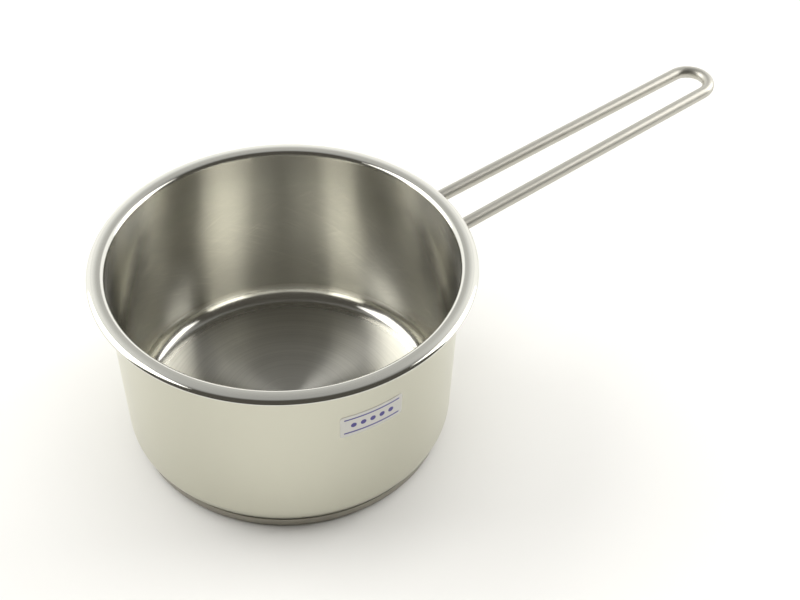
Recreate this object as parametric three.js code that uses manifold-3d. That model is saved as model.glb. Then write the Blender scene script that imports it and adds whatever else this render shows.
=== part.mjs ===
// A one-handled saucepan: a deep-drawn steel pot with a flared pouring rim, a bonded sandwich base,
// and a handle bent from one round rod whose two coped ends are welded to the wall.
// Millimetres, +Z up. The origin is the middle of the base's underside and +X runs along the handle.

import * as THREE from "three";
import { mergeVertices } from "three/addons/utils/BufferGeometryUtils.js";
import Module from "manifold-3d";

const wasm = await Module();
wasm.setup();

const { degToRad } = THREE.MathUtils;

// Pot
const POT_INNER_DIAMETER = 160; // inside the wall, where the rim begins
const POT_HEIGHT = 97.9; // underside of the base to the top of the rim
const POT_SHEET = 0.8;
const WALL_DRAFT = degToRad(1.8); // the wall narrows towards the floor
const CORNER_RADIUS = 9.5; // outside, between floor and wall

// Pouring rim, measured on its upper side
const FLARE_RADIUS = 2.3; // wall out to the level land
const LAND_WIDTH = 3.6; // level ring that a lid sits on
const LIP_RADIUS = 2.6; // land over to the turned-down edge
const LIP_TURN = degToRad(66); // how far the edge turns down

// Sandwich base, from the underside up
const CAP_SHEET = 0.6;
const BRAZE_FILM = 0.2;
const CORE_THICKNESS = 3.5; // under the pot's floor
const BASE_INSET = 3; // cap's side inside the wall's foot
const GROOVE_WIDTH = 0.6; // between the cap's edge and the pot's corner
const CAP_LEAN = degToRad(6); // the cap's side leans out as it rises
const CAP_CORNER_RADIUS = 2.5; // outside

// Handle
const ROD_DIAMETER = 6.2;
const HANDLE_DROP = 18.9; // rim top down to the rods' middle at the wall
const HANDLE_REACH = 192; // wall to the tip of the loop, along the rods
const HANDLE_RISE = degToRad(4); // the handle climbs away from the pot
const ROOT_SPACING = 23.8; // between the two rods' middles at the wall
const LOOP_RADIUS = 10.5; // bend at the tip, to the rod's middle
const WELD_LEG = 2.2; // bead along the wall and along the rod
const WELD_EDGE = 0.3; // bead's thickness where it runs out
const WELD_CLEARANCE = 0.3; // between rod, bead and wall

// Film label on the wall
const LABEL_WIDTH = 31;
const LABEL_HEIGHT = 12.8;
const LABEL_CORNER = 1.2;
const LABEL_DROP = 29.7; // rim top down to the label's middle
const LABEL_AZIMUTH = degToRad(-95.6); // round the pot from the handle
const LABEL_FILM = 0.2;
const LABEL_CLEARANCE = 0.3;

// Facets
const ROUND_SEGMENTS = 72; // round the pot
const BEND_SEGMENTS = 6; // round each bend of a sheet
const ROD_HALF_SIDES = 6; // round half of the rod
const HANDLE_STEPS = 112; // along the whole rod
const BEAD_SIDES = 16;
const BEAD_SEGMENTS = 4;
const LABEL_CORNER_SEGMENTS = 2;

// Sizes worked out from the ones above
const POT_INNER_RADIUS = POT_INNER_DIAMETER / 2;
const BASE_HEIGHT = CAP_SHEET + CORE_THICKNESS + 2 * BRAZE_FILM;
const ROD_RADIUS = ROD_DIAMETER / 2;
const ROOT_HEIGHT = POT_HEIGHT - HANDLE_DROP;
const FLARE_CENTRE = new THREE.Vector2(
  POT_INNER_RADIUS + FLARE_RADIUS * Math.cos(WALL_DRAFT),
  POT_HEIGHT - FLARE_RADIUS,
);
const LIP_CENTRE = new THREE.Vector2(FLARE_CENTRE.x + LAND_WIDTH, POT_HEIGHT - LIP_RADIUS);

// Outlines are half sections: x is the distance from the pot's axis and y is the height.

// Points on an arc round a centre, ends included.
function arcPoints(centre, radius, from, to, segments) {
  const points = [];
  for (let i = 0; i <= segments; i += 1) {
    const angle = THREE.MathUtils.lerp(from, to, i / segments);
    points.push(new THREE.Vector2(centre.x + radius * Math.cos(angle), centre.y + radius * Math.sin(angle)));
  }
  return points;
}

// A dish from its axis outwards: level floor, round corner, then a side that leans out up to the edge point.
function dishOutline(edge, bottom, corner, lean) {
  const centreHeight = bottom + corner;
  const sideRadius = edge.x - (edge.y - centreHeight) * Math.tan(lean);
  const centre = new THREE.Vector2(sideRadius - corner / Math.cos(lean), centreHeight);
  const bend = arcPoints(centre, corner, -Math.PI / 2, -lean, BEND_SEGMENTS);
  return [new THREE.Vector2(0, bottom), ...bend, edge];
}

// The rim's bend out of the wall, its land and its turned-down lip, on a skin this far under the upper side.
function rimOutline(depth) {
  const upright = Math.PI - WALL_DRAFT;
  const top = Math.PI / 2;
  return [
    ...arcPoints(FLARE_CENTRE, FLARE_RADIUS - depth, upright, top, BEND_SEGMENTS),
    ...arcPoints(LIP_CENTRE, LIP_RADIUS - depth, top, top - LIP_TURN, BEND_SEGMENTS),
  ];
}

// A solid turned round the pot's axis, +Z up.
function turned(outline) {
  return new THREE.LatheGeometry(outline, ROUND_SEGMENTS).rotateX(Math.PI / 2);
}

// Radius of the wall's outside at a height.
function wallRadius(height) {
  const start = rimOutline(POT_SHEET)[0];
  return start.x - (start.y - height) * Math.tan(WALL_DRAFT);
}

// A geometry's faces on shared corners, as a solid that can be cut.
function toSolid(geometry) {
  const bare = geometry.clone();
  bare.deleteAttribute("normal");
  bare.deleteAttribute("uv");
  const merged = mergeVertices(bare);
  const corners = merged.index.array;
  const faces = [];
  for (let i = 0; i < corners.length; i += 3) {
    const [a, b, c] = corners.subarray(i, i + 3);
    // A profile that starts on the axis leaves faces without area there.
    if (a !== b && b !== c && c !== a) {
      faces.push(a, b, c);
    }
  }
  return new wasm.Manifold(new wasm.Mesh({
    numProp: 3,
    vertProperties: new Float32Array(merged.attributes.position.array),
    triVerts: new Uint32Array(faces),
  }));
}

function fromSolid(solid) {
  const mesh = solid.getMesh();
  const geometry = new THREE.BufferGeometry();
  geometry.setAttribute("position", new THREE.BufferAttribute(mesh.vertProperties, mesh.numProp));
  geometry.setIndex(new THREE.BufferAttribute(mesh.triVerts, 1));
  geometry.computeVertexNormals();
  return geometry;
}

// Outside of the pot under its rim.
function potOutside() {
  return dishOutline(rimOutline(POT_SHEET)[0], BASE_HEIGHT, CORNER_RADIUS, WALL_DRAFT);
}

// Pot: the outside of the dish and the underside of the rim, then back over the rim and down the inside.
function potBody() {
  const underside = rimOutline(POT_SHEET);
  const upperSide = rimOutline(0);
  const inside = dishOutline(
    upperSide[0],
    BASE_HEIGHT + POT_SHEET,
    Math.max(CORNER_RADIUS - POT_SHEET, POT_SHEET),
    WALL_DRAFT,
  );
  return turned([
    ...potOutside(),
    ...underside.slice(1),
    ...upperSide.reverse(),
    ...inside.reverse().slice(1),
  ]);
}

// Centre of the outside corner between the pot's floor and wall.
function cornerCentre() {
  const height = BASE_HEIGHT + CORNER_RADIUS;
  return new THREE.Vector2(wallRadius(height) - CORNER_RADIUS / Math.cos(WALL_DRAFT), height);
}

// Top of a skin's side, this far inside the cap's outside, where it comes within a gap of the pot's corner.
function baseEdge(depth, gap) {
  const foot = new THREE.Vector2(
    wallRadius(BASE_HEIGHT) - BASE_INSET - depth / Math.cos(CAP_LEAN),
    BASE_HEIGHT,
  );
  const rise = new THREE.Vector2(Math.sin(CAP_LEAN), Math.cos(CAP_LEAN));
  const toCentre = cornerCentre().sub(foot);
  const nearest = toCentre.dot(rise);
  const passing = toCentre.cross(rise);
  const halfChord = Math.sqrt((CORNER_RADIUS + gap) ** 2 - passing ** 2);
  return foot.addScaledVector(rise, nearest - halfChord);
}

// Section of the base at a skin depth inside the cap's outside, up to a gap under the pot's corner.
function baseOutline(depth, gap) {
  return dishOutline(baseEdge(depth, gap), depth, Math.max(CAP_CORNER_RADIUS - depth, BRAZE_FILM), CAP_LEAN);
}

function baseCap() {
  return turned([...baseOutline(0, GROOVE_WIDTH), ...baseOutline(CAP_SHEET, GROOVE_WIDTH).reverse()]);
}

const CORE_DEPTH = CAP_SHEET + BRAZE_FILM;
const CORE_TOP = CORE_DEPTH + CORE_THICKNESS;

// Core: fills the cap, and its upper side follows the pot's floor and corner a braze film away.
function baseCore() {
  const outline = baseOutline(CORE_DEPTH, BRAZE_FILM);
  const centre = cornerCentre();
  const edgeAngle = outline.at(-1).clone().sub(centre).angle() - 2 * Math.PI;
  const underCorner = arcPoints(centre, CORNER_RADIUS + BRAZE_FILM, edgeAngle, -Math.PI / 2, BEND_SEGMENTS);
  return turned([...outline.slice(0, -1), ...underCorner, new THREE.Vector2(0, CORE_TOP)]);
}

// Radius of the level floor of a dish outline.
function floorRadius(outline) {
  return outline[1].x;
}

// Round braze film lying on a height.
function brazeFilm(radius, bottom) {
  return turned([
    new THREE.Vector2(0, bottom),
    new THREE.Vector2(radius, bottom),
    new THREE.Vector2(radius, bottom + BRAZE_FILM),
    new THREE.Vector2(0, bottom + BRAZE_FILM),
  ]);
}

// Everything inside the wall's outside, this much larger, over the whole height of the pot.
function wallInside(clearance) {
  const radiusAt = (height) => wallRadius(height) + clearance / Math.cos(WALL_DRAFT);
  return toSolid(turned([
    new THREE.Vector2(0, 0),
    new THREE.Vector2(radiusAt(0), 0),
    new THREE.Vector2(radiusAt(POT_HEIGHT), POT_HEIGHT),
    new THREE.Vector2(0, POT_HEIGHT),
  ]));
}

// The handle lies in a plane of its own: x from the wall outwards along the handle, y across it.
const ROOT_OFFSET = ROOT_SPACING / 2;
const LOOP_CENTRE = HANDLE_REACH - ROD_RADIUS - LOOP_RADIUS;
const LEG_LEAN = Math.atan2(ROOT_OFFSET, LOOP_CENTRE)
  - Math.asin(LOOP_RADIUS / Math.hypot(ROOT_OFFSET, LOOP_CENTRE));

// Moves a geometry from the handle's plane to its place on the wall.
function placeOnWall(geometry) {
  return geometry.rotateY(-HANDLE_RISE).translate(wallRadius(ROOT_HEIGHT), 0, ROOT_HEIGHT);
}

// A plane path as a curve in space.
class RodCurve extends THREE.Curve {
  constructor(path) {
    super();
    this.path = path;
  }

  getPoint(t, target = new THREE.Vector3()) {
    const point = this.path.getPoint(t);
    return target.set(point.x, point.y, 0);
  }
}

// Rod: out along one leg, round the tip and back, from inside the wall, then coped to the wall.
function handleLoop() {
  const start = -ROD_DIAMETER;
  const offset = ROOT_OFFSET - start * Math.tan(LEG_LEAN);
  const bendStart = Math.PI / 2 - LEG_LEAN;
  const path = new THREE.Path();
  path.moveTo(start, offset);
  path.lineTo(LOOP_CENTRE + LOOP_RADIUS * Math.cos(bendStart), LOOP_RADIUS * Math.sin(bendStart));
  path.absarc(LOOP_CENTRE, 0, LOOP_RADIUS, bendStart, -bendStart, true);
  path.lineTo(start, -offset);
  const section = new THREE.Shape().absarc(0, 0, ROD_RADIUS, 0, 2 * Math.PI);
  const rod = new THREE.ExtrudeGeometry(section, {
    extrudePath: new RodCurve(path),
    steps: HANDLE_STEPS,
    curveSegments: ROD_HALF_SIDES,
  });
  return fromSolid(toSolid(placeOnWall(rod)).subtract(wallInside(WELD_CLEARANCE)));
}

// Weld bead round one rod end: a ring with a hollow fillet from the wall to the rod, side +1 or -1.
function weldBead(side) {
  const bore = ROD_RADIUS + WELD_CLEARANCE;
  const fillet = arcPoints(
    new THREE.Vector2(bore + WELD_LEG, WELD_LEG),
    WELD_LEG - WELD_EDGE,
    -Math.PI / 2,
    -Math.PI,
    BEAD_SEGMENTS,
  );
  const ring = new THREE.LatheGeometry([
    new THREE.Vector2(bore, -WELD_LEG),
    new THREE.Vector2(bore + WELD_LEG, -WELD_LEG),
    ...fillet,
    new THREE.Vector2(bore, WELD_LEG),
    new THREE.Vector2(bore, -WELD_LEG),
  ], BEAD_SIDES);
  const wall = wallRadius(ROOT_HEIGHT);
  const setBack = wall - Math.sqrt(wall ** 2 - ROOT_OFFSET ** 2);
  ring.rotateZ(-Math.PI / 2 - side * LEG_LEAN);
  ring.translate(-setBack, side * ROOT_OFFSET, 0);
  return fromSolid(toSolid(placeOnWall(ring)).subtract(wallInside(WELD_CLEARANCE)));
}

// Label: a film round the wall, cut to a rectangle with round corners.
function wallLabel() {
  const middle = POT_HEIGHT - LABEL_DROP;
  const skin = wallInside(LABEL_CLEARANCE + LABEL_FILM).subtract(wallInside(LABEL_CLEARANCE));
  const right = LABEL_WIDTH / 2;
  const top = LABEL_HEIGHT / 2;
  const insetRight = right - LABEL_CORNER;
  const insetTop = top - LABEL_CORNER;
  const outline = new THREE.Shape();
  outline.absarc(insetRight, insetTop, LABEL_CORNER, 0, Math.PI / 2);
  outline.absarc(-insetRight, insetTop, LABEL_CORNER, Math.PI / 2, Math.PI);
  outline.absarc(-insetRight, -insetTop, LABEL_CORNER, Math.PI, 1.5 * Math.PI);
  outline.absarc(insetRight, -insetTop, LABEL_CORNER, 1.5 * Math.PI, 2 * Math.PI);
  const cutter = new THREE.ExtrudeGeometry(outline, {
    depth: POT_INNER_DIAMETER,
    bevelEnabled: false,
    curveSegments: LABEL_CORNER_SEGMENTS,
  });
  cutter.rotateX(Math.PI / 2).rotateZ(Math.PI / 2 + LABEL_AZIMUTH).translate(0, 0, middle);
  return fromSolid(skin.intersect(toSolid(cutter)));
}

// Finishes
const SATIN_STEEL = { color: 0xc8c4b8, roughness: 0.35, metalness: 1 };
const POLISHED_STEEL = { color: 0xcfccc4, roughness: 0.25, metalness: 1 };
const WELD_STEEL = { color: 0xb4b0a6, roughness: 0.45, metalness: 1 };
const BARE_ALUMINIUM = { color: 0xd2d3d4, roughness: 0.5, metalness: 1 };
const BRAZE_ALLOY = { color: 0x8d8b86, roughness: 0.6, metalness: 1 };
const CLEAR_FILM = { color: 0xd8d6d2, roughness: 0.3, metalness: 0 };

const saucepan = new THREE.Group();

function addPiece(name, geometry, finish) {
  const mesh = new THREE.Mesh(geometry, new THREE.MeshStandardMaterial(finish));
  mesh.name = name;
  saucepan.add(mesh);
}

const upperFilmRadius = Math.min(floorRadius(potOutside()), baseEdge(CORE_DEPTH, BRAZE_FILM).x);
const lowerFilmRadius = floorRadius(baseOutline(CORE_DEPTH, BRAZE_FILM));

addPiece("pot_body", potBody(), SATIN_STEEL);
addPiece("braze_upper", brazeFilm(upperFilmRadius, CORE_TOP), BRAZE_ALLOY);
addPiece("base_core", baseCore(), BARE_ALUMINIUM);
addPiece("braze_lower", brazeFilm(lowerFilmRadius, CAP_SHEET), BRAZE_ALLOY);
addPiece("base_cap", baseCap(), SATIN_STEEL);
addPiece("handle_loop", handleLoop(), POLISHED_STEEL);
addPiece("weld_left", weldBead(1), WELD_STEEL);
addPiece("weld_right", weldBead(-1), WELD_STEEL);
addPiece("wall_label", wallLabel(), CLEAR_FILM);

export default saucepan;
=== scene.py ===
"""Looks of a one-handled steel saucepan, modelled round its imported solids.

Lengths are metres in the part's own frame: +Z up, +X along the handle, origin under the base.
"""

import logging
import math
from dataclasses import dataclass
from enum import Enum
from typing import Mapping, Optional, Sequence, Union

import bpy
import numpy as np
from mathutils import Matrix, Vector


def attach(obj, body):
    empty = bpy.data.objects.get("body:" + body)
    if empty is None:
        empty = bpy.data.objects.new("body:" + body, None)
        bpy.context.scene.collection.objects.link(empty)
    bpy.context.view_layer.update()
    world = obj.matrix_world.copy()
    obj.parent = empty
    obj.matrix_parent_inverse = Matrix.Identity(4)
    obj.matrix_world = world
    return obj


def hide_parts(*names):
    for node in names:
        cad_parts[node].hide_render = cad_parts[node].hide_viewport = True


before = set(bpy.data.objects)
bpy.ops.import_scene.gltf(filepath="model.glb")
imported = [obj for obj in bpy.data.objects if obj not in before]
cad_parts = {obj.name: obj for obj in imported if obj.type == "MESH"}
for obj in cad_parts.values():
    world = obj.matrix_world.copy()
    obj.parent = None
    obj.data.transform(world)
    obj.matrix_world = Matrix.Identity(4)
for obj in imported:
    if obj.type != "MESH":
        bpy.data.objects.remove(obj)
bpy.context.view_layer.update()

LOG = logging.getLogger("saucepan")
BODY = "root"
MM = 0.001
NOISE_MEAN = 0.5
POLE_RADIUS = 1.5 * MM
CORNER_POINTS = 18
NOSE_POINTS = 8

Array = np.ndarray
Object = bpy.types.Object
Material = bpy.types.Material
Span = tuple[float, float]
Triple = tuple[float, float, float]
Colour = tuple[float, float, float, float]
Number = Union[int, float]
Operand = Union["Signal", Number]
Entry = Union["Signal", Number, Sequence[float]]


class Zone(Enum):
    """Float attributes that a mesh carries for its material."""

    RUN = "run"
    ACROSS = "across"
    UP = "up"


# Shader graph


@dataclass(frozen=True, eq=False)
class Signal:
    """An output socket that takes part in arithmetic: each operation adds one Math node."""

    graph: "ShaderGraph"
    socket: bpy.types.NodeSocket

    def __add__(self, other: Operand) -> "Signal":
        """Sum."""
        return self.graph.math("ADD", self, other)

    def __sub__(self, other: Operand) -> "Signal":
        """Difference."""
        return self.graph.math("SUBTRACT", self, other)

    def __rsub__(self, other: Operand) -> "Signal":
        """Difference with a number on the left."""
        return self.graph.math("SUBTRACT", other, self)

    def __mul__(self, other: Operand) -> "Signal":
        """Product."""
        return self.graph.math("MULTIPLY", self, other)

    def __truediv__(self, other: Operand) -> "Signal":
        """Quotient."""
        return self.graph.math("DIVIDE", self, other)

    def __abs__(self) -> "Signal":
        """Absolute value."""
        return self.graph.math("ABSOLUTE", self)

    def swing(self, amount: Operand) -> "Signal":
        """Departure of a noise from its mean, times an amount."""
        return (self - NOISE_MEAN) * amount

    __radd__ = __add__
    __rmul__ = __mul__


@dataclass(frozen=True, eq=False)
class Made:
    """A node that has been added, with its outputs at hand as signals."""

    graph: "ShaderGraph"
    node: bpy.types.Node

    def out(self, key: Union[int, str] = 0) -> Signal:
        """Output socket by place or name."""
        return Signal(self.graph, self.node.outputs[key])


class ShaderGraph:
    """Writes the node tree of one material or world."""

    def __init__(self, owner: Union[Material, bpy.types.World]) -> None:
        """Empties the owner's node tree and takes it over."""
        owner.use_nodes = True
        self.tree = owner.node_tree
        self.tree.nodes.clear()

    def node(
        self,
        kind: str,
        settings: Optional[Mapping[str, object]] = None,
        sockets: Optional[Mapping[Union[int, str], Entry]] = None,
    ) -> Made:
        """Adds a node.

        Args:
            kind: The node's type name.
            settings: Properties, set first; "stops" fills a colour ramp with (place, colour) pairs.
            sockets: Values or links for the inputs, by place or name.

        Returns:
            The node, wrapped.
        """
        made = self.tree.nodes.new(kind)
        for key, value in (settings or {}).items():
            if key == "stops":
                self._fill_ramp(made.color_ramp, value)
            else:
                setattr(made, key, value)
        for key, value in (sockets or {}).items():
            target = made.inputs[key]
            if isinstance(value, Signal):
                self.tree.links.new(value.socket, target)
            else:
                target.default_value = value
        return Made(self, made)

    @staticmethod
    def _fill_ramp(ramp: bpy.types.ColorRamp, stops: Sequence[tuple[float, Colour]]) -> None:
        """Sets a colour ramp's stops, in order of place."""
        while len(ramp.elements) < len(stops):
            ramp.elements.new(1.0)
        for element, (place, colour) in zip(ramp.elements, stops):
            element.position = place
            element.color = colour

    def math(self, operation: str, *terms: Operand) -> Signal:
        """A Math node on one or two values."""
        return self.node("ShaderNodeMath", {"operation": operation}, dict(enumerate(terms))).out()

    def place(self) -> tuple[Signal, Signal, Signal]:
        """The point's x, y and z in the part's frame."""
        spot = self.node("ShaderNodeTexCoord").out("Object")
        split = self.node("ShaderNodeSeparateXYZ", None, {0: spot})
        return split.out(0), split.out(1), split.out(2)

    def attribute(self, zone: Zone) -> Signal:
        """A float attribute of the mesh."""
        return self.node("ShaderNodeAttribute", {"attribute_name": zone.value}).out("Fac")

    def noise(self, spot: Sequence[Operand], cells: Triple, detail: float = 2.0) -> Signal:
        """Smooth noise at a point of three values, with so many cells per unit of each."""
        scaled = {axis: value * cells[axis] for axis, value in enumerate(spot)}
        place = self.node("ShaderNodeCombineXYZ", None, scaled).out()
        made = self.node("ShaderNodeTexNoise", None, {"Vector": place, "Scale": 1.0, "Detail": detail})
        return made.out("Fac")

    def step(self, value: Operand, low: float, high: float) -> Signal:
        """Smooth step from 0 at low to 1 at high, whichever is greater."""
        settings = {"interpolation_type": "SMOOTHSTEP"}
        if low > high:
            return 1.0 - self.step(value, high, low)
        return self.node("ShaderNodeMapRange", settings, {0: value, 1: low, 2: high}).out()

    def blend(self, factor: Operand, low: Entry, high: Entry) -> Signal:
        """Mixes two colours by a factor."""
        settings = {"data_type": "RGBA"}
        return self.node("ShaderNodeMix", settings, {0: factor, 6: low, 7: high}).out(2)

    def shade(self, colour: Entry, value: Operand) -> Signal:
        """A colour scaled by a value."""
        grey = self.node("ShaderNodeCombineColor", None, {0: value, 1: value, 2: value}).out()
        settings = {"data_type": "RGBA", "blend_type": "MULTIPLY"}
        return self.node("ShaderNodeMix", settings, {0: 1.0, 6: colour, 7: grey}).out(2)

    def bump(self, height: Signal, distance: float) -> Signal:
        """Normal that follows a height, in units of the distance."""
        return self.node("ShaderNodeBump", None, {"Height": height, "Distance": distance}).out()

    def surface(self, **sockets: Entry) -> None:
        """Ends the graph in one Principled shader, metal unless told; underscores stand for spaces."""
        named = {key.replace("_", " "): value for key, value in sockets.items()}
        shader = self.node("ShaderNodeBsdfPrincipled", None, {"Metallic": 1.0, **named}).out()
        self.node("ShaderNodeOutputMaterial", None, {"Surface": shader})


def new_material(name: str) -> tuple[Material, ShaderGraph]:
    """Adds an empty material, and the graph that writes it."""
    material = bpy.data.materials.new(name)
    return material, ShaderGraph(material)


# Surfaces


def add_object(name: str, data: bpy.types.ID) -> Object:
    """Adds an object that shows a mesh, lamp or camera to the scene."""
    made = bpy.data.objects.new(name, data)
    bpy.context.scene.collection.objects.link(made)
    return made


def arc(centre: Sequence[float], radius: float, start: float, end: float, count: int = 14) -> Array:
    """Points on a circle's arc: centre plus radius times the cosine and sine of an even run of angles.

    Args:
        centre: The arc's centre.
        radius: The arc's radius.
        start: First angle in radians.
        end: Last angle in radians.
        count: Number of points.

    Returns:
        An array of shape (count, 2).
    """
    angle = np.linspace(start, end, count)
    return np.asarray(centre) + radius * np.stack([np.cos(angle), np.sin(angle)], axis=1)


def straight(start: Array, end: Array, step: float = 2.5 * MM) -> Array:
    """Points strictly between two points, evenly spaced about a step apart.

    Args:
        start: First point, left out.
        end: Last point, left out.
        step: Distance between points, about.

    Returns:
        An array of points.
    """
    count = max(int(np.linalg.norm(end - start) / step), 1)
    share = np.linspace(0.0, 1.0, count + 2)[1:-1, None]
    return start + share * (end - start)


def run_along(points: Array) -> Array:
    """Distance travelled along a line of points, from 0 at the first."""
    steps = np.linalg.norm(np.diff(points, axis=0), axis=1)
    return np.concatenate([[0.0], np.cumsum(steps)])


def full_turn(count: int) -> Array:
    """Angles of one full turn, evenly spaced from 0."""
    return np.linspace(0.0, 2.0 * np.pi, count, endpoint=False)


def revolve(outline: Array, sides: int) -> Array:
    """Rings of an outline turned about the Z axis: radius times cosine and sine of the angle, height kept.

    Args:
        outline: Points (radius, height).
        sides: Points on each ring.

    Returns:
        An array of shape (len(outline), sides, 3).
    """
    turn = full_turn(sides)
    radius = outline[:, 0, None]
    height = np.broadcast_to(outline[:, 1, None], (len(outline), sides))
    return np.stack([radius * np.cos(turn), radius * np.sin(turn), height], axis=2)


def ring_mesh(
    name: str,
    rings: Array,
    poles: Optional[tuple[Array, Array]],
    fields: Mapping[Zone, Array],
) -> Object:
    """Skins rings of points into one closed, smooth surface.

    Neighbouring rings are joined by quads, point by point. With poles, a fan closes the first ring to the
    first pole and the last ring to the last; without, the last ring joins the first one again.

    Args:
        name: The piece's name.
        rings: Points of shape (rings, sides, 3), each ring running anticlockwise about the way ahead.
        poles: The two closing points, or None.
        fields: A value per ring point, and then per pole, for each attribute.

    Returns:
        The piece, linked to the scene.
    """
    count, sides = rings.shape[:2]
    here = np.arange(count * sides).reshape(count, sides)
    if poles is None:
        here = np.vstack([here, here[:1]])
    beside = np.roll(here, -1, axis=1)
    quads = np.stack([here[:-1], beside[:-1], beside[1:], here[1:]], axis=2).reshape(-1, 4)
    points = rings.reshape(-1, 3)
    corners = quads.ravel()
    sizes = np.full(len(quads), 4)
    if poles is not None:
        first, last = len(points), len(points) + 1
        points = np.vstack([points, *(np.reshape(pole, (1, 3)) for pole in poles)])
        opening = np.stack([beside[0], here[0], np.full(sides, first)], axis=1)
        closing = np.stack([here[-1], beside[-1], np.full(sides, last)], axis=1)
        corners = np.concatenate([corners, opening.ravel(), closing.ravel()])
        sizes = np.concatenate([sizes, np.full(2 * sides, 3)])
    mesh = bpy.data.meshes.new(name)
    mesh.vertices.add(len(points))
    mesh.vertices.foreach_set("co", points.astype(np.float32).ravel())
    mesh.loops.add(len(corners))
    mesh.loops.foreach_set("vertex_index", corners.astype(np.int32))
    mesh.polygons.add(len(sizes))
    mesh.polygons.foreach_set("loop_start", (np.cumsum(sizes) - sizes).astype(np.int32))
    mesh.polygons.foreach_set("use_smooth", np.ones(len(sizes), dtype=bool))
    mesh.update(calc_edges=True)
    mesh.validate()
    for zone, values in fields.items():
        layer = mesh.attributes.new(zone.value, "FLOAT", "POINT")
        layer.data.foreach_set("value", np.asarray(values, dtype=np.float32).ravel())
    return add_object(name, mesh)


def along_rings(values: Array, sides: int) -> Array:
    """One value per ring spread to the ring's points, with the first and last value again for the poles."""
    return np.concatenate([np.repeat(values, sides), [values[0], values[-1]]])


def turned_mesh(name: str, outline: Array, sides: int) -> Object:
    """Turns an outline about the Z axis and closes it on the axis, level with its two ends.

    Args:
        name: The piece's name.
        outline: Points (radius, height), whose run the mesh carries.
        sides: Points on each ring.

    Returns:
        The piece, linked to the scene.
    """
    poles = np.array([0.0, 0.0, outline[0, 1]]), np.array([0.0, 0.0, outline[-1, 1]])
    runs = along_rings(run_along(outline), sides)
    return ring_mesh(name, revolve(outline, sides), poles, {Zone.RUN: runs})


def tube(path: Array, radius: float, up: Array, sides: int) -> Array:
    """Rings of a round rod along a path that lies in a plane.

    Each ring is a circle of the radius about its path point, spanned by the plane's normal and the
    cross product of that normal with the path's tangent.

    Args:
        path: Points (n, 3) of the rod's middle line.
        radius: The rod's radius.
        up: Unit normal of the path's plane.
        sides: Points on each ring.

    Returns:
        An array of shape (n, sides, 3).
    """
    ahead = np.gradient(path, axis=0)
    ahead /= np.linalg.norm(ahead, axis=1, keepdims=True)
    side = np.cross(up, ahead)
    turn = full_turn(sides)[None, :, None]
    return path[:, None] + radius * (np.cos(turn) * side[:, None] + np.sin(turn) * up)


# Finishes


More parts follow.
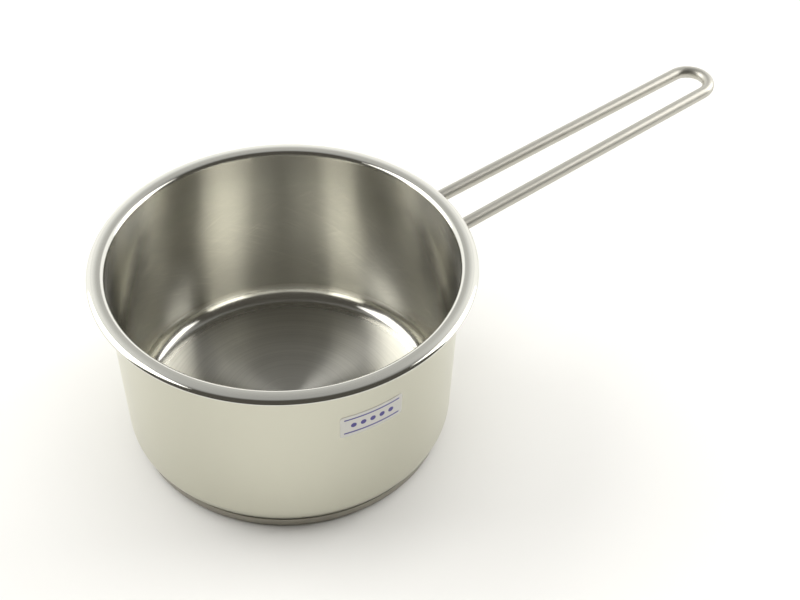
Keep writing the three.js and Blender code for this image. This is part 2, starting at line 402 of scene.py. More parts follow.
@dataclass(frozen=True)
class PotSteel:
    """Drawn steel sheet: satin outside, polished rim, brushed round the inside.

    Depths are runs past the end of the rim's flare, cells are noise cells per metre. What adds to the
    roughness ends in rough, to the colour's strength in shine and to the height in relief.

    Attributes:
        rim_start: Run along the section where the rim begins, on its underside.
        rim_end: Run where the rim's flare ends inside the pot.
        wall_radius: Mean radius of the wall, for the length of a turn.
    """

    rim_start: float
    rim_end: float
    wall_radius: float
    outside_tint: Colour = (0.62, 0.61, 0.512, 1.0)
    rim_tint: Colour = (0.75, 0.742, 0.68, 1.0)
    inside_tint: Colour = (0.705, 0.695, 0.642, 1.0)
    outside_roughness: float = 0.2
    rim_roughness: float = 0.1
    inside_roughness: float = 0.2
    anisotropy: float = 1.0
    grain_turn: float = 0.25
    rim_edge: float = 1.0 * MM
    inside_depths: Span = (-3.2 * MM, 1.5 * MM)
    below_rim_depths: Span = (20.0 * MM, 4.0 * MM)
    scuff_depths: Span = (10.0 * MM, 24.0 * MM)
    corner_depths: Span = (79.0 * MM, 84.0 * MM)
    floor_depths: Span = (93.0 * MM, 97.0 * MM)
    grain_cells: Triple = (34.0, 34.0, 2400.0)
    band_cells: Triple = (10.0, 10.0, 300.0)
    ring_cells: Triple = (6.0, 6.0, 1100.0)
    patch_cells: Triple = (22.0, 22.0, 22.0)
    patch_levels: Span = (0.35, 0.52)
    scuff_cells: Triple = (2600.0, 60.0, 1.0)
    scuff_seeds: Span = (0.3, 7.1)
    scuff_slant: float = math.radians(28.0)
    scuff_levels: Span = (0.55, 0.7)
    patch_rough: float = 0.04
    band_rough: float = 0.04
    grain_rough: float = 0.02
    below_rim_rough: float = 0.04
    scuff_rough: float = 0.02
    corner_rough: float = -0.075
    floor_rough: float = 0.162
    patch_shine: float = 0.05
    band_shine: float = 0.1
    ring_shine: float = 0.3
    scuff_shine: float = 0.2
    grain_relief: float = 0.2
    inside_relief: float = 0.15
    scuff_relief: float = 0.3
    relief: float = 0.012 * MM

    def beyond(self, graph: ShaderGraph, run: Signal, depths: Span) -> Signal:
        """Smooth step from 0 at the first depth to 1 at the second."""
        return graph.step(run, self.rim_end + depths[0], self.rim_end + depths[1])

    def scuffs(self, graph: ShaderGraph, run: Signal, girth: Signal) -> Signal:
        """Fine scuffs that cross the grain both ways: ridges of noise drawn out along two slanted lines."""
        cos, sin = math.cos(self.scuff_slant), math.sin(self.scuff_slant)
        first, second = self.scuff_seeds
        rising = (run * cos + girth * sin, girth * cos - run * sin, first)
        falling = (run * cos - girth * sin, girth * cos + run * sin, second)
        ridges = [graph.noise(spot, self.scuff_cells) for spot in (rising, falling)]
        return graph.step(ridges[0], *self.scuff_levels) + graph.step(ridges[1], *self.scuff_levels)

    def material(self) -> Material:
        """Writes the finish: grain follows the turn, scuffs cross it on the inside of the wall."""
        material, graph = new_material("pot_steel")
        x, y, _ = graph.place()
        run = graph.attribute(Zone.RUN)
        girth = graph.math("ARCTAN2", y, x) * self.wall_radius
        rim = graph.step(run, self.rim_start - self.rim_edge, self.rim_start)
        inside = self.beyond(graph, run, self.inside_depths)
        below_rim = self.beyond(graph, run, self.below_rim_depths) * inside
        corner = self.beyond(graph, run, self.corner_depths)
        floor = self.beyond(graph, run, self.floor_depths)
        spot = (x, y, run)
        grain = graph.noise(spot, self.grain_cells)
        bands = graph.noise(spot, self.band_cells)
        rings = graph.noise(spot, self.ring_cells)
        patches = graph.noise(spot, self.patch_cells)
        scuffed = self.beyond(graph, run, self.scuff_depths) * (1.0 - corner)
        scuffs = self.scuffs(graph, run, girth) * scuffed * graph.step(patches, *self.patch_levels)
        outside_rough = self.outside_roughness + patches.swing(self.patch_rough)
        inside_rough = self.inside_roughness + bands.swing(self.band_rough) + grain.swing(self.grain_rough)
        inside_rough = inside_rough + below_rim * self.below_rim_rough + scuffs * self.scuff_rough
        inside_rough = inside_rough + corner * self.corner_rough + floor * self.floor_rough
        rough = outside_rough + (self.rim_roughness - outside_rough) * rim
        rough = rough + (inside_rough - rough) * inside
        shine = 1.0 + patches.swing(self.patch_shine) + bands.swing(self.band_shine) * inside
        shine = shine + rings.swing(self.ring_shine) * floor + scuffs * self.scuff_shine
        unpolished = 1.0 - rim * (1.0 - inside)
        grain_relief = self.grain_relief + inside * self.inside_relief
        height = grain.swing(grain_relief) * unpolished + scuffs * self.scuff_relief
        tint = graph.blend(rim, self.outside_tint, self.rim_tint)
        tint = graph.blend(inside, tint, self.inside_tint)
        graph.surface(
            Base_Color=graph.shade(tint, shine),
            Roughness=rough,
            Anisotropic=self.anisotropy,
            Anisotropic_Rotation=self.grain_turn,
            Normal=graph.bump(height, self.relief),
        )
        return material


@dataclass(frozen=True)
class TurnedSteel:
    """Base cap: fine turning marks round the axis, dulled where it meets the hob; its dark tint is painted
    shade.
    """

    roughness: float = 0.34
    # Darker than the pot's steel: painted shade, standing in for the shadowed floor that the cap mirrors.
    tint: Colour = (0.4, 0.378, 0.325, 1.0)
    anisotropy: float = 0.75
    grain_turn: float = 0.25
    mark_cells: Triple = (20.0, 20.0, 2600.0)
    wear_cells: Triple = (45.0, 45.0, 45.0)
    mean_shine: float = 0.94
    wear_shine: float = 0.22
    mark_shine: float = 0.08
    wear_rough: float = 0.16
    mark_rough: float = 0.1
    relief: float = 0.012 * MM

    def material(self) -> Material:
        """Writes the finish: marks follow the run along the section."""
        material, graph = new_material("cap_steel")
        x, y, _ = graph.place()
        spot = (x, y, graph.attribute(Zone.RUN))
        marks = graph.noise(spot, self.mark_cells)
        wear = graph.noise(spot, self.wear_cells, detail=4.0)
        shine = self.mean_shine + wear.swing(self.wear_shine) + marks.swing(self.mark_shine)
        graph.surface(
            Base_Color=graph.shade(self.tint, shine),
            Roughness=self.roughness + wear.swing(self.wear_rough) + marks.swing(self.mark_rough),
            Anisotropic=self.anisotropy,
            Anisotropic_Rotation=self.grain_turn,
            Normal=graph.bump(marks, self.relief),
        )
        return material


@dataclass(frozen=True)
class DrawnSteel:
    """Rod: drawn lengthwise and polished, with fine lines along it."""

    tint: Colour = (0.54, 0.525, 0.47, 1.0)
    roughness: float = 0.42
    line_cells: Triple = (9.0, 9.0, 14.0)
    dull_cells: Triple = (1.2, 1.2, 60.0)
    detail: float = 3.0
    mean_shine: float = 0.98
    dull_shine: float = 0.08
    line_shine: float = 0.08
    dull_rough: float = 0.1
    line_rough: float = 0.12
    relief: float = 0.008 * MM

    def material(self) -> Material:
        """Writes the finish: lines change round the rod and hardly along it."""
        material, graph = new_material("rod_steel")
        spot = tuple(graph.attribute(zone) for zone in (Zone.ACROSS, Zone.UP, Zone.RUN))
        lines = graph.noise(spot, self.line_cells, self.detail)
        dull = graph.noise(spot, self.dull_cells, self.detail)
        shine = self.mean_shine + dull.swing(self.dull_shine) + lines.swing(self.line_shine)
        graph.surface(
            Base_Color=graph.shade(self.tint, shine),
            Roughness=self.roughness + dull.swing(self.dull_rough) + lines.swing(self.line_rough),
            Normal=graph.bump(lines, self.relief),
        )
        return material


@dataclass(frozen=True)
class WeldMetal:
    """Weld bead: rippled, brushed clean, with a trace of straw and blue heat colour."""

    steel: Colour = (0.5, 0.47, 0.42, 1.0)
    straw: Colour = (0.5, 0.38, 0.22, 1.0)
    blue: Colour = (0.3, 0.32, 0.4, 1.0)
    heat_levels: Triple = (0.42, 0.58, 0.72)
    heat_cells: Triple = (260.0, 260.0, 260.0)
    fine_cells: Triple = (2400.0, 2400.0, 2400.0)
    roughness: float = 0.38
    fine_rough: float = 0.3
    relief: float = 0.04 * MM

    def material(self) -> Material:
        """Writes the finish: heat colour in soft patches, roughness from fine noise."""
        material, graph = new_material("weld_steel")
        spot = graph.place()
        heat = graph.noise(spot, self.heat_cells)
        fine = graph.noise(spot, self.fine_cells)
        stops = list(zip(self.heat_levels, (self.steel, self.straw, self.blue)))
        colour = graph.node("ShaderNodeValToRGB", {"stops": stops}, {0: heat}).out()
        graph.surface(
            Base_Color=colour,
            Roughness=self.roughness + fine.swing(self.fine_rough),
            Normal=graph.bump(fine, self.relief),
        )
        return material


@dataclass(frozen=True)
class PrintedFilm:
    """Label film: pale satin film with two plain rules and a row of dots between them.

    Attributes:
        half_width: Half the film's width.
        half_height: Half the film's height.
    """

    half_width: float
    half_height: float
    film: Colour = (0.66, 0.65, 0.62, 1.0)
    ink: Colour = (0.075, 0.06, 0.3, 1.0)
    rule_inset: float = 2.2 * MM
    rule_half: float = 0.4 * MM
    dot_radius: float = 1.35 * MM
    dot_pitch: float = 4.6 * MM
    dots_each_side: int = 2
    margin: float = 1.8 * MM
    soft: float = 0.06 * MM
    smear_cells: Triple = (300.0, 300.0, 300.0)
    mean_shine: float = 0.96
    smear_shine: float = 0.1
    metal: float = 0.75
    roughness: float = 0.32
    smear_rough: float = 0.12
    ink_rough: float = 0.1

    def within(self, graph: ShaderGraph, value: Signal, edge: float) -> Signal:
        """1 where a value is below an edge, with a soft border."""
        return graph.step(value, edge + self.soft, edge - self.soft)

    def material(self) -> Material:
        """Writes the finish: ink where a rule or a dot covers the point."""
        material, graph = new_material("label_film")
        across = graph.attribute(Zone.ACROSS)
        up = graph.attribute(Zone.UP)
        rule_line = abs(abs(up) - (self.half_height - self.rule_inset))
        rule = self.within(graph, rule_line, self.rule_half)
        rule = rule * self.within(graph, abs(across), self.half_width - self.margin)
        cell = across - graph.math("ROUND", across / self.dot_pitch) * self.dot_pitch
        reach = graph.math("SQRT", cell * cell + up * up)
        last = (self.dots_each_side + 0.5) * self.dot_pitch
        dot = self.within(graph, reach, self.dot_radius) * self.within(graph, abs(across), last)
        ink = graph.math("MAXIMUM", rule, dot)
        smear = graph.noise(graph.place(), self.smear_cells, detail=3.0)
        film = graph.shade(self.film, self.mean_shine + smear.swing(self.smear_shine))
        graph.surface(
            Base_Color=graph.blend(ink, film, self.ink),
            Metallic=self.metal * (1.0 - ink),
            Roughness=self.roughness + smear.swing(self.smear_rough) + ink * self.ink_rough,
        )
        return material


@dataclass(frozen=True)
class BareMetal:
    """Plain cast or brazed metal of the base's inner layers.

    Attributes:
        name: Name of the finish.
        tint: Its colour.
        roughness: Its mean roughness.
    """

    name: str
    tint: Colour
    roughness: float
    mottle_cells: Triple = (160.0, 160.0, 160.0)
    fine_cells: Triple = (1800.0, 1800.0, 1800.0)
    mean_shine: float = 0.9
    mottle_shine: float = 0.4
    mottle_rough: float = 0.2
    relief: float = 0.03 * MM

    def material(self) -> Material:
        """Writes the finish: mottled colour and roughness with a fine grain."""
        material, graph = new_material(self.name)
        spot = graph.place()
        mottle = graph.noise(spot, self.mottle_cells, detail=4.0)
        fine = graph.noise(spot, self.fine_cells)
        graph.surface(
            Base_Color=graph.shade(self.tint, self.mean_shine + mottle.swing(self.mottle_shine)),
            Roughness=self.roughness + mottle.swing(self.mottle_rough),
            Normal=graph.bump(fine, self.relief),
        )
        return material


# Pieces


def dress(piece: Object, material: Material) -> None:
    """Puts one material on a piece in place of whatever it wears."""
    piece.data.materials.clear()
    piece.data.materials.append(material)


def seat(piece: Object, material: Material, node: str) -> None:
    """Dresses a piece, fixes it to the pan's body and lets it stand for its solid.

    Args:
        piece: The finished piece.
        material: What it wears.
        node: The solid that it replaces.
    """
    dress(piece, material)
    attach(piece, BODY)
    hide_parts(node)
    LOG.info("%s stands for %s, %d faces", piece.name, node, len(piece.data.polygons))


@dataclass
class Pot:
    """Deep-drawn vessel with a flared pouring rim.

    The section is a closed line of arcs and straights, turned about the axis.
    """

    inner_radius: float = 80.0 * MM
    height: float = 97.9 * MM
    sheet: float = 0.8 * MM
    draft: float = math.radians(1.8)
    corner_radius: float = 9.5 * MM
    flare_radius: float = 2.3 * MM
    land: float = 3.6 * MM
    lip_radius: float = 2.6 * MM
    lip_turn: float = math.radians(66.0)
    base_height: float = 4.5 * MM
    crown: float = 0.09 * MM
    land_points: int = 9
    flare_points: int = 24
    sides: int = 288

    def __post_init__(self) -> None:
        """Places the centres of the rim's two bends."""
        out = self.inner_radius + self.flare_radius * math.cos(self.draft)
        self.flare_centre = np.array([out, self.height - self.flare_radius])
        self.lip_centre = np.array([out + self.land, self.height - self.lip_radius])

    def wall_radius(self, height: Union[float, Array]) -> Union[float, Array]:
        """Radius of the wall's outside at a height."""
        bend = self.flare_radius - self.sheet
        start = self.flare_centre + bend * np.array([-math.cos(self.draft), math.sin(self.draft)])
        return start[0] - (start[1] - height) * math.tan(self.draft)

    def corner_centre(self) -> Array:
        """Centre of the outside corner between floor and wall, as (radius, height)."""
        height = self.base_height + self.corner_radius
        return np.array([self.wall_radius(height) - self.corner_radius / math.cos(self.draft), height])

    def crowned_land(self) -> Array:
        """The rim's land from the lip to the flare: a shallow parabola on the level line."""
        share = np.linspace(0.0, 1.0, self.land_points)
        radius = self.lip_centre[0] - share * self.land
        return np.stack([radius, self.height + 4.0 * self.crown * share * (1.0 - share)], axis=1)

    def section(self) -> tuple[Array, float, float]:
        """The whole section.

        Returns:
            The points, and the runs where the rim starts and ends.
        """
        upright, top = math.pi - self.draft, math.pi / 2
        end = top - self.lip_turn
        under = np.vstack([
            arc(self.flare_centre, self.flare_radius - self.sheet, upright, top),
            arc(self.lip_centre, self.lip_radius - self.sheet, top, end),
        ])
        over = np.vstack([
            arc(self.lip_centre, self.lip_radius, end, top)[:-1],
            self.crowned_land(),
            arc(self.flare_centre, self.flare_radius, top, upright, self.flare_points)[1:],
        ])
        half = self.sheet / 2
        edge = self.lip_centre + (self.lip_radius - half) * np.array([math.cos(end), math.sin(end)])
        nose = arc(edge, half, end - math.pi, end, NOSE_POINTS)[1:-1]
        inner_corner = self.corner_radius - self.sheet
        outside = dish_line(under[0], self.base_height, self.corner_radius, self.draft)
        inside = dish_line(over[-1], self.base_height + self.sheet, inner_corner, self.draft)
        points = np.vstack([outside, under, nose, over, inside[::-1]])
        runs = run_along(points)
        return points, runs[len(outside)], runs[len(points) - len(inside) - 1]

    def build(self) -> None:
        """Turns the section into the vessel."""
        points, rim_start, rim_end = self.section()
        piece = turned_mesh("pot_shell", points, self.sides)
        steel = PotSteel(rim_start, rim_end, self.inner_radius)
        seat(piece, steel.material(), "pot_body")


def dish_line(edge: Array, bottom: float, corner: float, lean: float) -> Array:
    """A dish's section from near the axis: level floor, round corner, side leaning out to the edge.

    The corner's circle touches the floor and the side line; straights are filled with even points.

    Args:
        edge: Top point of the side, left out.
        bottom: Height of the floor.
        corner: Radius of the corner.
        lean: Angle of the side from upright, in radians.

    Returns:
        Points (radius, height).
    """
    centre_height = bottom + corner
    side = edge[0] - (edge[1] - centre_height) * math.tan(lean)
    centre = (side - corner / math.cos(lean), centre_height)
    bend = arc(centre, corner, -math.pi / 2, -lean, CORNER_POINTS)
    near_axis = np.array([POLE_RADIUS, bottom])
    return np.vstack([near_axis, straight(near_axis, bend[0]), bend, straight(bend[-1], edge)])


@dataclass
class BaseCap:
    """Steel cap pressed over the base's core: a shallow dish of thin sheet with a rounded edge."""

    pot: Pot
    sheet: float = 0.6 * MM
    inset: float = 3.0 * MM
    groove: float = 0.6 * MM
    lean: float = math.radians(6.0)
    corner_radius: float = 2.5 * MM
    sides: int = 256

    def edge(self, depth: float) -> Array:
        """Top of the side at this depth in the sheet, where it enters a circle round the pot's corner."""
        base = self.pot.base_height
        foot = np.array([self.pot.wall_radius(base) - self.inset - depth / math.cos(self.lean), base])
        rise = np.array([math.sin(self.lean), math.cos(self.lean)])
        to_centre = self.pot.corner_centre() - foot
        nearest = to_centre @ rise
        reach = self.pot.corner_radius + self.groove + self.sheet / 4
        half_chord = math.sqrt(reach ** 2 - (to_centre @ to_centre - nearest ** 2))
        return foot + (nearest - half_chord) * rise

    def skin(self, depth: float, edge: Array) -> Array:
        """Section of the dish this far inside its outside, with its top point."""
        return np.vstack([dish_line(edge, depth, self.corner_radius - depth, self.lean), edge])

    def build(self) -> None:
        """Turns the section into the cap."""
        inner = self.edge(self.sheet)
        across = np.array([math.cos(self.lean), -math.sin(self.lean)])
        outside = self.skin(0.0, inner + self.sheet * across)
        inside = self.skin(self.sheet, inner)
        half = self.sheet / 2
        nose = arc(inner + half * across, half, -self.lean, math.pi - self.lean, NOSE_POINTS)[1:-1]
        points = np.vstack([outside, nose, inside[::-1]])
        piece = turned_mesh("cap_shell", points, self.sides)
        seat(piece, TurnedSteel().material(), "base_cap")


@dataclass
class Handle:
    """One round rod bent to a loop, and the weld beads at its two ends."""

    pot: Pot
    rod_radius: float = 3.1 * MM
    drop: float = 18.9 * MM
    reach: float = 192.0 * MM
    rise: float = math.radians(4.0)
    root_offset: float = 11.9 * MM
    loop_radius: float = 10.5 * MM
    weld_leg: float = 2.2 * MM
    weld_bury: float = 0.12
    weld_sides: int = 96
    weld_points: int = 12
    ripple: float = 0.07
    ripples: float = 19.0
    wave: float = 0.05
    waves: float = 3.0
    wave_phase: float = 1.0
    sink: float = 0.25 * MM
    sides: int = 48
    step: float = 1.2 * MM
    newton_steps: int = 6

    def __post_init__(self) -> None:
        """Works out the plane of the loop and the lean of its legs."""
        self.root_height = self.pot.height - self.drop
        self.origin = np.array([self.pot.wall_radius(self.root_height), 0.0, self.root_height])
        self.ahead = np.array([math.cos(self.rise), 0.0, math.sin(self.rise)])
        self.side = np.array([0.0, 1.0, 0.0])
        self.up = np.cross(self.ahead, self.side)
        self.loop_centre = self.reach - self.rod_radius - self.loop_radius
        span = math.hypot(self.root_offset, self.loop_centre)
        self.lean = math.atan2(self.root_offset, self.loop_centre) - math.asin(self.loop_radius / span)

    def in_plane(self, points: Array) -> Array:
        """Points of the loop's plane, (along, across), as points in space."""
        return self.origin + points[:, :1] * self.ahead + points[:, 1:] * self.side

    def to_wall(self, start: Array, ahead: Array) -> Array:
        """Distance from points along a direction to the wall's outside, by Newton's steps on the cone.

        Args:
            start: Points (..., 3).
            ahead: Unit direction.

        Returns:
            Distances of the points' shape.
        """
        far = np.zeros(start.shape[:-1])
        slope = math.tan(self.pot.draft)
        for _ in range(self.newton_steps):
            spot = start + far[..., None] * ahead
            radius = np.hypot(spot[..., 0], spot[..., 1])
            miss = radius - self.pot.wall_radius(spot[..., 2])
            pace = (spot[..., 0] * ahead[0] + spot[..., 1] * ahead[1]) / radius - slope * ahead[2]
            far = far - miss / pace
        return far

    def leg(self, side: int) -> tuple[Array, Array]:
        """Where a leg's middle line meets the wall, and its direction away from it; side is 1 or -1."""
        ahead = math.cos(self.lean) * self.ahead - side * math.sin(self.lean) * self.side
        start = self.origin + side * self.root_offset * self.side
        return start + self.to_wall(start, ahead) * ahead, ahead

    def path(self) -> Array:
        """The rod's middle line: one leg, the bend at the tip and the other leg, in the loop's plane."""
        bend_start = math.pi / 2 - self.lean
        count = int(self.loop_radius * math.pi / self.step) * 2
        bend = self.in_plane(arc((self.loop_centre, 0.0), self.loop_radius, bend_start, -bend_start, count))
        roots = [root - self.sink * ahead for root, ahead in (self.leg(1), self.leg(-1))]
        return np.vstack([
            roots[0],
            straight(roots[0], bend[0], self.step),
            bend,
            straight(bend[-1], roots[1], self.step),
            roots[1],
        ])

    def build_rod(self) -> None:
        """Sweeps the rod along its middle line."""
        path = self.path()
        rings = tube(path, self.rod_radius, self.up, self.sides)
        turn = full_turn(self.sides)
        ends = np.zeros(2)
        fields = {
            Zone.RUN: along_rings(run_along(path), self.sides),
            Zone.ACROSS: np.concatenate([np.tile(np.cos(turn), len(path)), ends]),
            Zone.UP: np.concatenate([np.tile(np.sin(turn), len(path)), ends]),
        }
        piece = ring_mesh("handle_rod", rings, (path[0], path[-1]), fields)
        seat(piece, DrawnSteel().material(), "handle_loop")

    def build_weld(self, side: int, name: str, node: str) -> None:
        """Lays the bead round one rod end.

        The bead's section is a hollow quarter round from the wall to the rod, closed behind, carried round
        the rod; its foot follows the wall and its edge swells and shrinks in small ripples.

        Args:
            side: 1 or -1, the leg's side.
            name: The piece's name.
            node: The solid that it replaces.
        """
        root, ahead = self.leg(side)
        across = np.cross(self.up, ahead)
        turn = full_turn(self.weld_sides)
        swell = 1.0 + self.ripple * np.sin(self.ripples * turn)
        swell = swell + self.wave * np.sin(self.waves * turn + self.wave_phase)
        quarter = np.linspace(0.0, np.pi / 2, self.weld_points)
        buried = -self.weld_bury
        out = np.concatenate([1.0 - np.sin(quarter), [buried, buried, 1.0]])
        away = np.concatenate([1.0 - np.cos(quarter), [1.0, buried, buried]])
        reach = self.rod_radius + self.weld_leg * out[None, :] * swell[:, None]
        spoke = np.cos(turn)[:, None] * across + np.sin(turn)[:, None] * self.up
        foot = root + reach[..., None] * spoke[:, None]
        lift = self.to_wall(foot, ahead) + self.weld_leg * away[None, :] * swell[:, None]
        rings = foot + lift[..., None] * ahead
        piece = ring_mesh(name, rings[:, ::-1], None, {})
        seat(piece, WeldMetal().material(), node)


@dataclass
class Label:
    """Thin film with round corners that follows the wall."""

    pot: Pot
    width: float = 31.0 * MM
    height: float = 12.8 * MM
    corner: float = 1.2 * MM
    drop: float = 29.7 * MM
    azimuth: float = math.radians(-95.6)
    lift: float = 0.02 * MM
    film: float = 0.09 * MM
    edge_step: float = 0.5 * MM
    corner_points: int = 8
    rings: int = 12
    first_ring: float = 0.06
    last_ring: float = 0.97
    edge_ring: float = 0.995

    def edge(self) -> Array:
        """The film's outline, anticlockwise: four corner arcs, with even points along the straights."""
        right, top = self.width / 2 - self.corner, self.height / 2 - self.corner
        quarter = math.pi / 2
        arcs = [
            arc((x, y), self.corner, turn * quarter, (turn + 1) * quarter, self.corner_points)
            for turn, (x, y) in enumerate([(right, top), (-right, top), (-right, -top), (right, -top)])
        ]
        sides = [straight(arcs[i][-1], arcs[(i + 1) % 4][0], self.edge_step) for i in range(4)]
        return np.vstack([part for pair in zip(arcs, sides) for part in pair])

    def on_wall(self, flat: Array, lift: Union[float, Array]) -> Array:
        """Flat points (across, up) bent round the wall, lifted off it."""
        height = self.pot.height - self.drop + flat[..., 1]
        radius = self.pot.wall_radius(height) + lift
        turn = self.azimuth + flat[..., 0] / self.pot.wall_radius(self.pot.height - self.drop)
        return np.stack([radius * np.cos(turn), radius * np.sin(turn), height], axis=-1)

    def build(self) -> None:
        """Grows the film's underside from its middle to its edge, and its face from there back."""
        grow = np.append(np.linspace(self.first_ring, self.last_ring, self.rings), self.edge_ring)
        scale = np.concatenate([grow, [1.0], grow[::-1]])
        top = self.lift + self.film
        half = (self.lift + top) / 2
        lift = np.concatenate([np.full(len(grow), self.lift), [half], np.full(len(grow), top)])
        flat = scale[:, None, None] * self.edge()[None]
        rings = self.on_wall(flat, lift[:, None])
        middle = np.zeros((1, 2))
        poles = self.on_wall(middle, self.lift)[0], self.on_wall(middle, top)[0]
        fields = {
            Zone.ACROSS: np.concatenate([flat[..., 0].ravel(), [0.0, 0.0]]),
            Zone.UP: np.concatenate([flat[..., 1].ravel(), [0.0, 0.0]]),
        }
        piece = ring_mesh("label_sheet", rings, poles, fields)
        film = PrintedFilm(self.width / 2, self.height / 2)
        seat(piece, film.material(), "wall_label")


@dataclass
class BaseCore:
    """The base's inner layers, which keep their solids and only get their finishes."""

    aluminium: BareMetal = BareMetal("core_aluminium", (0.62, 0.63, 0.64, 1.0), 0.45)
    braze: BareMetal = BareMetal("braze_alloy", (0.3, 0.29, 0.27, 1.0), 0.55)

    def dress_layers(self) -> None:
        """Dresses the disc and the two braze films."""
        braze = self.braze.material()
        dress(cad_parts["base_core"], self.aluminium.material())
        for name in ("braze_upper", "braze_lower"):
            dress(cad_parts[name], braze)
        LOG.info("base_core, braze_upper and braze_lower dressed")


# Studio


@dataclass(frozen=True)
class Lamp:
    """Soft rectangular lamp that faces the pan.

    Attributes:
        name: The lamp's name.
        bearing: Its bearing in degrees, from the photograph's right towards its back.
        height: Its angle above the floor in degrees.
        size: Width and height of its face.
        glow: Radiance of its face, where 1 is white.
        mirrored: Whether its face shows in the steel.
    """

    name: str
    bearing: float
    height: float
    size: Span
    glow: float
    mirrored: bool = True


@dataclass
class Studio:
    """Camera, soft lights, white surroundings and floor, placed in the photograph's own directions.

    There x is to the right, y away from the camera and z up, about the pot's axis. Each span of the
    surroundings is between the sines of two angles, and each span of the floor between two radii.
    """

    handle_bearing: float = math.radians(31.4)
    lens: float = 63.92
    sensor: float = 36.0
    clip_start: float = 0.01
    elevation: float = math.radians(47.07)
    distance: float = 711.16 * MM
    aim_right: float = 53.19 * MM
    aim_height: float = 69.35 * MM
    roll: float = math.radians(1.37)
    lamps: tuple[Lamp, ...] = (
        Lamp("softbox_left", 164.0, 37.0, (0.86, 1.1), 2.75),
        Lamp("softbox_right", 12.5, 30.5, (0.69, 0.92), 2.7),
        Lamp("fill_above", 300.0, 79.0, (1.0, 1.0), 1.8, mirrored=False),
    )
    lamp_distance: float = 1.1
    lamp_tint: Triple = (1.0, 0.995, 0.98)
    front_glow: Colour = (0.09, 0.085, 0.075, 1.0)
    gap_glow: Colour = (0.54, 0.54, 0.53, 1.0)
    back_glow: Colour = (1.24, 1.24, 1.23, 1.0)
    top_glow: Colour = (0.42, 0.42, 0.42, 1.0)
    white: Colour = (1.0, 1.0, 1.0, 1.0)
    gap_foot: Span = (0.45, 0.64)
    gap_side: Span = (0.04, 0.3)
    top_edge: Span = (0.66, 0.88)
    front_edge: Span = (-0.12, 0.35)
    paper: Colour = (0.9, 0.894, 0.872, 1.0)
    paper_roughness: float = 0.8
    paper_specular: float = 0.1
    mean_shine: float = 0.99
    cloud_shine: float = 0.02
    cloud_cells: Triple = (2.0, 2.0, 1.0)
    floor_half: float = 3.0
    mirrored_lift: float = 0.12
    lift_reach: Span = (0.08, 0.2)
    fade_reach: Span = (0.45, 1.2)

    def turned(self, vector: Sequence[float]) -> Vector:
        """A vector in the photograph's directions, in the part's frame."""
        return Matrix.Rotation(-self.handle_bearing, 3, "Z") @ Vector(vector)

    def add_camera(self) -> None:
        """Puts the camera where the photograph was taken."""
        data = bpy.data.cameras.new("photo_camera")
        data.lens = self.lens
        data.sensor_width = self.sensor
        data.clip_start = self.clip_start
        camera = add_object("photo_camera", data)
        before, over = self.distance * math.cos(self.elevation), self.distance * math.sin(self.elevation)
        place = self.turned((0.0, -before, over))
        ahead = (self.turned((self.aim_right, 0.0, self.aim_height)) - place).normalized()
        right = ahead.cross(Vector((0.0, 0.0, 1.0))).normalized()
        above = right.cross(ahead)
        tilted_right = math.cos(self.roll) * right + math.sin(self.roll) * above
        tilted_above = math.cos(self.roll) * above - math.sin(self.roll) * right
        axes = Matrix((tilted_right, tilted_above, -ahead)).transposed()
        camera.matrix_world = Matrix.Translation(place) @ axes.to_4x4()
        bpy.context.scene.camera = camera

    def add_lamp(self, lamp: Lamp) -> None:
        """Hangs a lamp at its bearing and height, facing the pan."""
        data = bpy.data.lights.new(lamp.name, "AREA")
        data.shape = "RECTANGLE"
        data.size, data.size_y = lamp.size
        data.energy = lamp.glow * math.pi * lamp.size[0] * lamp.size[1]
        data.color = self.lamp_tint
        hung = add_object(lamp.name, data)
        turn, rise = math.radians(lamp.bearing), math.radians(lamp.height)
        level = math.cos(rise)
        way = self.turned((level * math.cos(turn), level * math.sin(turn), math.sin(rise)))
        axes = way.to_track_quat("Z", "Y").to_matrix().to_4x4()
        hung.matrix_world = Matrix.Translation(way * self.lamp_distance) @ axes
        hung.visible_camera = False
        hung.visible_glossy = lamp.mirrored

    def add_surroundings(self) -> None:
        """What the steel mirrors: bright behind but for a dimmer gap, dim above, dark in front.

        The camera itself sees plain white there.
        """
        world = bpy.data.worlds.new("white_tent")
        bpy.context.scene.world = world
        graph = ShaderGraph(world)
        way = graph.node("ShaderNodeTexCoord").out("Generated")
        along = {"operation": "DOT_PRODUCT"}
        rightward, backward, upward = (
            graph.node("ShaderNodeVectorMath", along, {0: way, 1: self.turned(axis)}).out("Value")
            for axis in Matrix.Identity(3)
        )
        gap = graph.blend(graph.step(upward, *self.gap_foot), self.back_glow, self.gap_glow)
        tent = graph.blend(graph.step(abs(rightward), *self.gap_side), gap, self.back_glow)
        tent = graph.blend(graph.step(upward, *self.top_edge), tent, self.top_glow)
        tent = graph.blend(graph.step(backward, *self.front_edge), self.front_glow, tent)
        seen = graph.node("ShaderNodeLightPath").out("Is Camera Ray")
        colour = graph.blend(seen, tent, self.white)
        shader = graph.node("ShaderNodeBackground", None, {"Color": colour}).out()
        graph.node("ShaderNodeOutputWorld", None, {"Surface": shader})

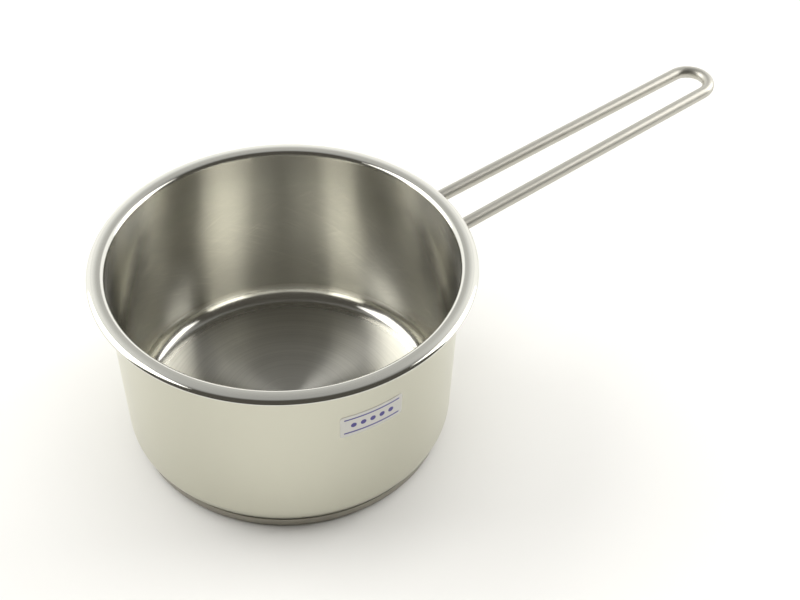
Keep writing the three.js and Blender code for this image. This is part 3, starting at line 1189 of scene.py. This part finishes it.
    def add_floor(self) -> None:
        """Pale floor that carries the pan's shadow and fades to the white background far from it."""
        half = self.floor_half
        mesh = bpy.data.meshes.new("floor")
        corners = [(-half, -half, 0.0), (half, -half, 0.0), (half, half, 0.0), (-half, half, 0.0)]
        mesh.from_pydata(corners, [], [(0, 1, 2, 3)])
        floor = add_object("floor", mesh)
        material, graph = new_material("floor_paper")
        x, y, _ = graph.place()
        cloud = graph.noise((x, y, 0.0), self.cloud_cells)
        paper = graph.node("ShaderNodeBsdfPrincipled", None, {
            "Base Color": graph.shade(self.paper, self.mean_shine + cloud.swing(self.cloud_shine)),
            "Roughness": self.paper_roughness,
            "Specular IOR Level": self.paper_specular,
        }).out()
        white = graph.node("ShaderNodeEmission", None, {"Strength": 1.0}).out()
        path = graph.node("ShaderNodeLightPath")
        mirrored = graph.math("MAXIMUM", path.out("Is Glossy Ray"), path.out("Is Transmission Ray"))
        seen = graph.math("MAXIMUM", path.out("Is Camera Ray"), mirrored)
        reach = graph.math("SQRT", x * x + y * y)
        lift = mirrored * graph.step(reach, *self.lift_reach) * self.mirrored_lift
        fade = seen * graph.step(reach, *self.fade_reach)
        share = graph.math("MAXIMUM", lift, fade)
        shader = graph.node("ShaderNodeMixShader", None, {0: share, 1: paper, 2: white}).out()
        graph.node("ShaderNodeOutputMaterial", None, {"Surface": shader})
        dress(floor, material)

    def build(self) -> None:
        """Sets up the camera, lamps, surroundings and floor."""
        bpy.context.scene.view_settings.view_transform = "Standard"
        self.add_camera()
        for lamp in self.lamps:
            self.add_lamp(lamp)
        self.add_surroundings()
        self.add_floor()


def main() -> None:
    """Builds the studio and the pan's pieces in order."""
    logging.basicConfig(level=logging.INFO, format="%(name)s: %(message)s")
    Studio().build()
    pot = Pot()
    pot.build()
    BaseCap(pot).build()
    BaseCore().dress_layers()
    handle = Handle(pot)
    handle.build_rod()
    handle.build_weld(1, "weld_bead_left", "weld_left")
    handle.build_weld(-1, "weld_bead_right", "weld_right")
    Label(pot).build()


if __name__ == "__main__":
    main()
